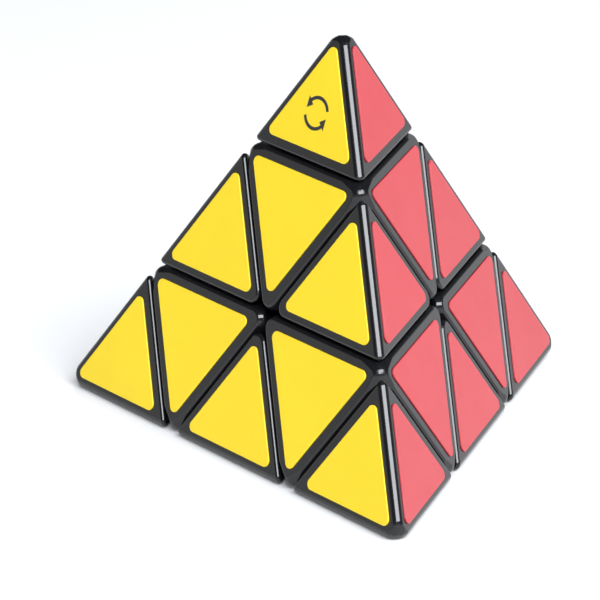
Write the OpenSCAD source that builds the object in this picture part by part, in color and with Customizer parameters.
// Tetrahedral twisty puzzle: four tips, four axial pieces and six edge pieces turning about a four-armed core.
// Origin: centre of the core, where the four turning axes cross. +Z runs up through the top tip.
// The puzzle stands on its bottom face, and every turning axis runs from the origin to one corner.

/* [Outer shape] */
// Length of an outer edge, measured over the rounded tips
edge_length = 98; // [94:1:104]
// Radius that rounds the outer edges
outer_radius = 1.3; // [1.1:0.1:1.6]
// Radius that rounds the tips
tip_radius = 2; // [1.8:0.1:2.6]
// Distance from the centre to the seam under a layer, as a share of the distance to a face
layer_share = 0.35; // [0.345:0.005:0.355]
// Distance from the centre to the seam under a tip, as a share of the distance to a face
tip_share = 1.7; // [1.69:0.005:1.71]
// Radius that eases the border of every piece
border_radius = 0.65; // [0.4:0.05:0.8]
// Radius that rounds the corner of a piece near the middle of a face
inner_radius = 2.3; // [1.9:0.1:2.6]

/* [Shells] */
// Wall of the moulded shells
wall = 1.8; // [1.4:0.1:2]
// Gap between two pieces that slide past each other
piece_gap = 0.4; // [0.3:0.02:0.5]
// Glue line between a shell and the part that closes it
glue_line = 0.05; // [0.03:0.01:0.08]

/* [Stickers] */
// Thickness of a sticker
sticker_thickness = 0.25; // [0.2:0.05:0.3]
// Film of glue between a piece and its sticker
glue_film = 0.01; // [0.01:0.01:0.03]
// Distance from a seam to the sticker of a tip
tip_inset = 2.6; // [2.3:0.05:2.8]
// Distance from a seam to the sticker of an edge piece
edge_inset = 2.25; // [2:0.05:2.6]
// Distance from a seam to the sticker of an axial piece
axial_inset = 2.15; // [1.9:0.05:2.4]
// Flat plastic left between a sticker and the rounded outer edge
outer_margin = 0.65; // [0.5:0.05:0.9]
// Radius of a sticker's corners
sticker_radius = 1.2; // [0.8:0.1:1.6]

/* [Core] */
// Radius of the ball in the middle of the core
hub_radius = 10.4; // [10:0.1:10.5]
// Radius of the four arms
arm_radius = 3.2; // [3:0.1:3.3]
// Distance from the centre to the end of an arm
arm_end = 16; // [15.5:0.1:16.2]
// Radius of the screw's thread
screw_radius = 1.3; // [1.2:0.05:1.4]
// Radius of the screw's head
screw_head_radius = 2.8; // [2.6:0.1:3]

/* [Edge feet] */
// Inner radius of the foot that slides round the ball
foot_inner = 10.8; // [10.8:0.1:11]
// Outer radius of the foot
foot_outer = 16.8; // [16.5:0.1:16.9]
// Distance from the centre to the plane that parts a layer's feet from the rest
foot_plane = 2.2; // [2.1:0.1:2.4]
// Width of the neck that joins a foot to its shell
neck_width = 3.6; // [3:0.1:3.8]
// Length of the neck's section
neck_length = 11.5; // [9:0.5:12]

/* [Axial pieces and tips] */
// Radial clearance between an arm and the stem that turns on it
stem_clearance = 0.05; // [0.02:0.01:0.08]
// Outer radius of the stem
stem_radius = 5.2; // [4.8:0.1:5.3]
// Radius of the well that holds the spring
well_radius = 3.7; // [3.5:0.1:3.8]
// Radius of the stud that a tip turns on
stud_radius = 4.15; // [4:0.05:4.3]

/* [Springs] */
// Radius of the coil, to the middle of the wire
coil_radius = 2.4; // [2.2:0.1:2.6]
// Radius of the spring wire
wire_radius = 0.3; // [0.25:0.05:0.35]
// Turns in a spring
coil_turns = 5; // [4:1:6]

/* [Hidden] */
$fn = 64;
BLACK = [0.09, 0.09, 0.1];
DARK = [0.2, 0.2, 0.22];
STEEL = [0.72, 0.73, 0.75];
FACE_COLOUR = ["green", "royalblue", "gold", "crimson"]; // of the face opposite each corner
FACE_NAME = ["green", "blue", "yellow", "red"];
CORNER_NAME = ["top", "front", "right", "left"];
EDGES = [[0, 1], [0, 2], [0, 3], [1, 2], [2, 3], [1, 3]];

// Tetrahedron: distances from the centre, along a corner axis or the opposite way
shoulder_radius = (outer_radius + tip_radius) / 2; // rounds a tip halfway between its middle and an edge
sharp_edge = edge_length + shoulder_radius * (3 * sqrt(8 / 3) - 2);
face_distance = sharp_edge / sqrt(24);
layer_plane = layer_share * face_distance;
tip_plane = tip_share * face_distance;
face_radius = sharp_edge / sqrt(3);      // from the middle of a face to its corner
tilt = sqrt(8) / 3;                      // what a step in a face counts along the axis it points to
outer_level = -face_distance + (outer_radius * sqrt(2) + outer_margin) * tilt;
half_gap = piece_gap / 2;
block = 2 * sharp_edge;                  // side of the cubes that stand for half-spaces
rounding_steps = 4;                      // flats that round an outer edge, plus one
axis_angle = acos(-1 / 3);               // between two corner axes, and between two face normals

// Axial piece, as distances along its axis
recess_radius = foot_outer + 0.3;
stem_start = hub_radius - 0.1;
shelf_start = arm_end + 0.3;
shelf_end = shelf_start + 2;
well_end = shelf_end + 10.5;
well_wall = 1.7;
cap_thickness = 1.6;
axial_top = tip_plane - half_gap;
socket_start = well_end + 0.1;
socket_floor = 1.3;
socket_radius = stud_radius + 0.05;
groove_start = socket_start + 2.2;
groove_height = 1.4;
groove_depth = 0.55;

// Screw, washer and spring, as distances along the axis
spring_start = shelf_end + 0.15;
spring_end = spring_start + 4.9;
washer_start = spring_end + 0.1;
washer_thickness = 0.5;
washer_radius = 3.2;
head_start = washer_start + washer_thickness;
head_height = 2;
thread_start = 7;

// Tip, as distances along its axis
tip_base = tip_plane + half_gap;
stud_start = socket_start + socket_floor + 0.4;
bead_radius = stud_radius + 0.3;
bead_height = 0.8;
finger_slot = 0.9;

TIP_NODES = [for (c = [0:3]) str("tip_", CORNER_NAME[c])];
AXIAL_NODES = [for (c = [0:3]) str("axial_", CORNER_NAME[c])];
EDGE_NODES = [for (e = EDGES) str("edge_", edge_name(e))];
FOOT_NODES = [for (e = EDGES) str("edge_foot_", edge_name(e))];
// Every facelet's sticker: [node name, face, corner it is lined up with, levels of its sides, 1 or -1].
// A side's level is how far it lies along a corner's axis: first for that corner, then for the other two.
// The sticker is on the far side of its levels (1), or on the near side (-1).
FACELETS = concat(
    [for (c = [0:3]) for (f = others([c])) [
        sticker_name(f, TIP_NODES[c]), f, c, [tip_plane + tip_inset * tilt, outer_level], 1
    ]],
    [for (c = [0:3]) for (f = others([c])) [
        sticker_name(f, AXIAL_NODES[c]), f, c,
        [tip_plane - axial_inset * tilt, layer_plane - axial_inset * tilt], -1
    ]],
    [for (n = [0:5]) for (f = others(EDGES[n])) let (far = others(concat(EDGES[n], [f]))[0]) [
        sticker_name(f, EDGE_NODES[n]), f, far, [outer_level, layer_plane + edge_inset * tilt], 1
    ]]
);

// ---- Directions and names ----

function unit(v) = v / norm(v);

// Unit vector from the centre to a corner
function corner(c) = c == 0 ? [0, 0, 1] : let (a = [0, -90, 30, 150][c]) [
    sin(axis_angle) * cos(a),
    sin(axis_angle) * sin(a),
    cos(axis_angle)
];

// The corners that are not in the list
function others(used) = [for (c = [0:3]) if (len(search(c, used)) == 0) c];

// Unit vector that lies in a face and points from its middle to a corner
function in_face(face, c) = unit(corner(c) + corner(face) / 3);

function edge_name(e) = str(CORNER_NAME[e[0]], "_", CORNER_NAME[e[1]]);
function sticker_name(face, piece) = str("sticker_", FACE_NAME[face], "_", piece);

// Direction at a share of the turn from one direction to another
function between(a, b, share) = let (angle = acos(a * b))
    (sin((1 - share) * angle) * a + sin(share * angle) * b) / sin(angle);

// ---- Planes: [outward direction, distance from the centre] ----

function face_plane(face) = [-corner(face), face_distance];
function above(c, distance) = [-corner(c), -distance - half_gap];
function below(c, distance) = [corner(c), distance - half_gap];
function inset(planes, depth) = [for (p = planes) [p[0], p[1] - depth]];

// Plane in a direction that touches the tetrahedron rounded by a radius
function touching(direction, radius) = let (reach = max([for (c = [0:3]) corner(c) * direction]))
    [direction, 3 * (face_distance - radius) * reach + radius];

// Flats that round the outer edge between two corners
function rounded_edge(e) = let (faces = others(e)) [
    for (k = [1:rounding_steps - 1])
        touching(between(-corner(faces[0]), -corner(faces[1]), k / rounding_steps), outer_radius)
];

// Flats that round the tip at a corner, fullest beside the edges that run into it
function rounded_corner(c) = concat(
    [touching(corner(c), tip_radius)],
    [for (f = others([c])) touching(between(corner(c), -corner(f), 0.5), shoulder_radius)],
    [for (d = others([c])) touching(between(corner(c), unit(corner(c) + corner(d)), 0.5), shoulder_radius)]
);

// Flat that eases the line where two planes meet
function eased(a, b) = let (sum = a[0] + b[0], stretch = 2 / norm(sum))
    [unit(sum), (a[1] + b[1]) / norm(sum) - border_radius * (stretch - 1)];

// Flats that round the corner where two seam planes meet, near the middle of a face
function rounded_seam(a, b) = let (axis_reach = 2 * a[1] - 2 * inner_radius, steps = 4) [
    for (k = [1:steps - 1])
        let (direction = between(a[0], b[0], k / steps))
            [direction, direction * (a[0] + b[0]) * axis_reach / pow(norm(a[0] + b[0]), 2) + inner_radius]
];

function tip_planes(c) = let (base = above(c, tip_plane)) concat(
    [base],
    [for (f = others([c])) face_plane(f)],
    [for (f = others([c])) eased(base, face_plane(f))],
    [for (d = others([c])) each rounded_edge([c, d])],
    rounded_corner(c)
);

function axial_planes(c) = let (top = below(c, tip_plane)) concat(
    [top, above(c, layer_plane)],
    [for (d = others([c])) below(d, layer_plane)],
    [for (f = others([c])) face_plane(f)],
    [for (f = others([c])) eased(top, face_plane(f))],
    [for (f = others([c])) for (d = others([c, f])) eased(below(d, layer_plane), face_plane(f))],
    [for (f = others([c])) let (far = others([c, f]))
        each rounded_seam(below(far[0], layer_plane), below(far[1], layer_plane))],
    [for (d = others([c])) each rounded_edge([c, d])]
);

function edge_planes(e) = let (faces = others(e)) concat(
    [for (c = e) above(c, layer_plane)],
    [for (f = faces) face_plane(f)],
    [for (f = faces) for (c = e) eased(above(c, layer_plane), face_plane(f))],
    rounded_seam(above(e[0], layer_plane), above(e[1], layer_plane)),
    rounded_edge(e)
);

// Sides of an edge piece's foot
function foot_planes(e) = concat(
    [for (c = e) above(c, foot_plane)],
    [for (c = others(e)) below(c, foot_plane)]
);

// All but the first plane, moved inwards
function hollowed(planes, depth) = [for (k = [1:len(planes) - 1]) [planes[k][0], planes[k][1] - depth]];

// ---- Building blocks ----

// Everything on the inner side of a plane
module half_space(plane) {
    d = plane[0];
    rotate([0, atan2(norm([d.x, d.y]), d.z), atan2(d.y, d.x)])
        translate([-block / 2, -block / 2, plane[1] - block])
            cube(block);
}

module bounded_by(planes) {
    intersection_for (p = planes) half_space(p);
}

// Stands children on a point, with their +Z along up and their +Y along ahead
module stand(point, up, ahead) {
    side = cross(ahead, up);
    multmatrix([
        [side.x, ahead.x, up.x, point.x],
        [side.y, ahead.y, up.y, point.y],
        [side.z, ahead.z, up.z, point.z]
    ]) children();
}

// Turns children so that +Z runs along a corner's axis
module on_axis(c) {
    neighbour = c == 0 ? 1 : 0;
    stand([0, 0, 0], corner(c), unit(corner(neighbour) + corner(c) / 3)) children();
}

// Cylinder between two distances along the axis
module rod(radius, from, to) {
    translate([0, 0, from]) cylinder(r = radius, h = to - from);
}

// ---- Core, screws, washers and springs ----

module core() {
    color(BLACK) difference() {
        union() {
            sphere(hub_radius);
            for (c = [0:3]) on_axis(c) rod(arm_radius, hub_radius / 2, arm_end);
        }
        for (c = [0:3]) on_axis(c) rod(screw_radius + 0.05, thread_start - 0.5, arm_end + 1);
    }
}

module screw() {
    recess_depth = 1.1;
    rod(screw_radius, thread_start, head_start + 0.5);
    difference() {
        rod(screw_head_radius, head_start, head_start + head_height);
        for (turn = [0, 90])
            rotate([0, 0, turn])
                translate([-1.7, -0.35, head_start + head_height - recess_depth])
                    cube([3.4, 0.7, recess_depth + 1]);
    }
}

module washer() {
    difference() {
        rod(washer_radius, washer_start, head_start);
        rod(screw_radius + 0.15, washer_start - 1, head_start + 1);
    }
}

// Round wire swept along a helix
module spring() {
    sides = 6;
    per_turn = 12;
    steps = coil_turns * per_turn;
    rise = spring_end - spring_start - 2 * wire_radius;
    points = [
        for (k = [0:steps]) for (s = [0:sides - 1])
            let (
                turn = 360 * k / per_turn,
                round = 360 * s / sides,
                reach = coil_radius + wire_radius * cos(round)
            )
            [
                reach * cos(turn),
                reach * sin(turn),
                spring_start + wire_radius + rise * k / steps + wire_radius * sin(round)
            ]
    ];
    walls = [
        for (k = [0:steps - 1]) for (s = [0:sides - 1])
            let (a = k * sides + s, b = k * sides + (s + 1) % sides)
            [a, b, b + sides, a + sides]
    ];
    ends = [
        [for (s = [sides - 1:-1:0]) s],
        [for (s = [0:sides - 1]) steps * sides + s]
    ];
    polyhedron(points, concat(walls, ends));
}

module axle_screws() {
    color(STEEL) for (c = [0:3]) on_axis(c) screw();
}

module washers() {
    color(STEEL) for (c = [0:3]) on_axis(c) washer();
}

module springs() {
    color(STEEL) for (c = [0:3]) on_axis(c) spring();
}

// ---- Axial pieces ----

module axial_shell(c) {
    planes = axial_planes(c);
    difference() {
        union() {
            difference() {
                bounded_by(planes);
                sphere(recess_radius);
                // hollow, open towards the tip
                difference() {
                    bounded_by(hollowed(planes, wall));
                    sphere(recess_radius + wall);
                    on_axis(c) rod(well_radius + well_wall, 0, well_end);
                }
            }
            on_axis(c) rod(stem_radius, stem_start, recess_radius + wall);
        }
        on_axis(c) rod(arm_radius + stem_clearance, 0, shelf_start);
        on_axis(c) rod(screw_radius + 0.3, 0, shelf_end + 1);
        on_axis(c) rod(well_radius, shelf_end, well_end + 1);
    }
}

// Lid of an axial piece, with the socket for the tip's stud
module axial_lid(c) {
    difference() {
        union() {
            intersection() {
                bounded_by(hollowed(axial_planes(c), wall + glue_line));
                on_axis(c) rod(face_radius, axial_top - cap_thickness, axial_top);
            }
            on_axis(c) rod(well_radius + well_wall + 0.6, socket_start, axial_top - cap_thickness / 2);
        }
        on_axis(c) {
            rod(well_radius, 0, axial_top);
            rod(socket_radius, socket_start + socket_floor, axial_top + 1);
            rod(socket_radius + groove_depth, groove_start, groove_start + groove_height);
        }
    }
}

module axial(c) {
    color(BLACK) {
        axial_shell(c);
        axial_lid(c);
    }
}

// ---- Tips ----

module tip_shell(c) {
    planes = tip_planes(c);
    difference() {
        bounded_by(planes);
        bounded_by(hollowed(planes, wall));
    }
}

// Floor of a tip, with the split stud that snaps into the axial piece
module tip_floor(c) {
    floor_top = tip_base + cap_thickness;
    bead_start = groove_start + (groove_height - bead_height) / 2;
    difference() {
        union() {
            intersection() {
                bounded_by(hollowed(tip_planes(c), wall + glue_line));
                on_axis(c) rod(face_radius, tip_base, floor_top);
            }
            on_axis(c) rod(stud_radius, stud_start, tip_base + cap_thickness / 2);
            on_axis(c) rod(bead_radius, bead_start, bead_start + bead_height);
        }
        on_axis(c) {
            rod(stud_radius - 1.4, stud_start - 1, tip_base - 0.6);
            for (turn = [0, 90])
                rotate([0, 0, turn])
                    translate([-bead_radius - 1, -finger_slot / 2, stud_start - 1])
                        cube([2 * bead_radius + 2, finger_slot, tip_base - stud_start - 0.6]);
        }
    }
}

module tip(c) {
    color(BLACK) {
        tip_shell(c);
        tip_floor(c);
    }
}

// ---- Edge pieces ----

// Stands children on the line from the centre to the middle of an edge, with +Y along the edge
module on_edge(e) {
    stand([0, 0, 0], unit(corner(e[0]) + corner(e[1])), unit(corner(e[0]) - corner(e[1]))) children();
}

module neck(e, clearance, from, to) {
    width = neck_width + 2 * clearance;
    length = neck_length + 2 * clearance;
    on_edge(e) translate([-length / 2, -width / 2, from]) cube([length, width, to - from]);
}

module edge_shell(e) {
    color(BLACK) difference() {
        bounded_by(edge_planes(e));
        sphere(recess_radius);
        difference() {
            bounded_by(inset(edge_planes(e), wall));
            sphere(recess_radius + wall);
        }
        neck(e, glue_line, 0, recess_radius + 2 * wall);
    }
}

// Foot that hooks under the axial pieces and slides round the ball
module edge_foot(e) {
    color(DARK) union() {
        difference() {
            intersection() {
                sphere(foot_outer);
                bounded_by(foot_planes(e));
            }
            sphere(foot_inner);
        }
        neck(e, 0, foot_outer - 3.5, recess_radius + 2 * wall);
    }
}

// ---- Stickers ----

// Triangle with rounded corners and one corner towards +Y
module sticker_outline(inradius) {
    arc_steps = 6;
    polygon([
        for (side = [0:2]) for (k = [0:arc_steps])
            let (
                towards = 90 + 120 * side,
                at = towards - 60 + 120 * k / arc_steps,
                reach = 2 * (inradius - sticker_radius)
            )
            [
                reach * cos(towards) + sticker_radius * cos(at),
                reach * sin(towards) + sticker_radius * sin(at)
            ]
    ]);
}

module sticker(facelet) {
    face = facelet[1];
    towards = in_face(face, facelet[2]);
    levels = facelet[3];
    sign = facelet[4];
    spare = sign * (face_distance - levels[0] - 2 * levels[1]) / 3;
    middle = (levels[0] + sign * spare - face_distance / 3) / tilt;
    foot = face_distance + glue_film;
    color(FACE_COLOUR[face])
        stand(middle * towards - foot * corner(face), -corner(face), sign * towards)
            linear_extrude(sticker_thickness) sticker_outline(spare / tilt);
}

// ---- Nodes ----

core();
axle_screws();
washers();
springs();
for (c = [0:3]) axial(c);
for (c = [0:3]) tip(c);
for (n = [0:5]) edge_shell(EDGES[n]);
for (n = [0:5]) edge_foot(EDGES[n]);
for (f = FACELETS) sticker(f);
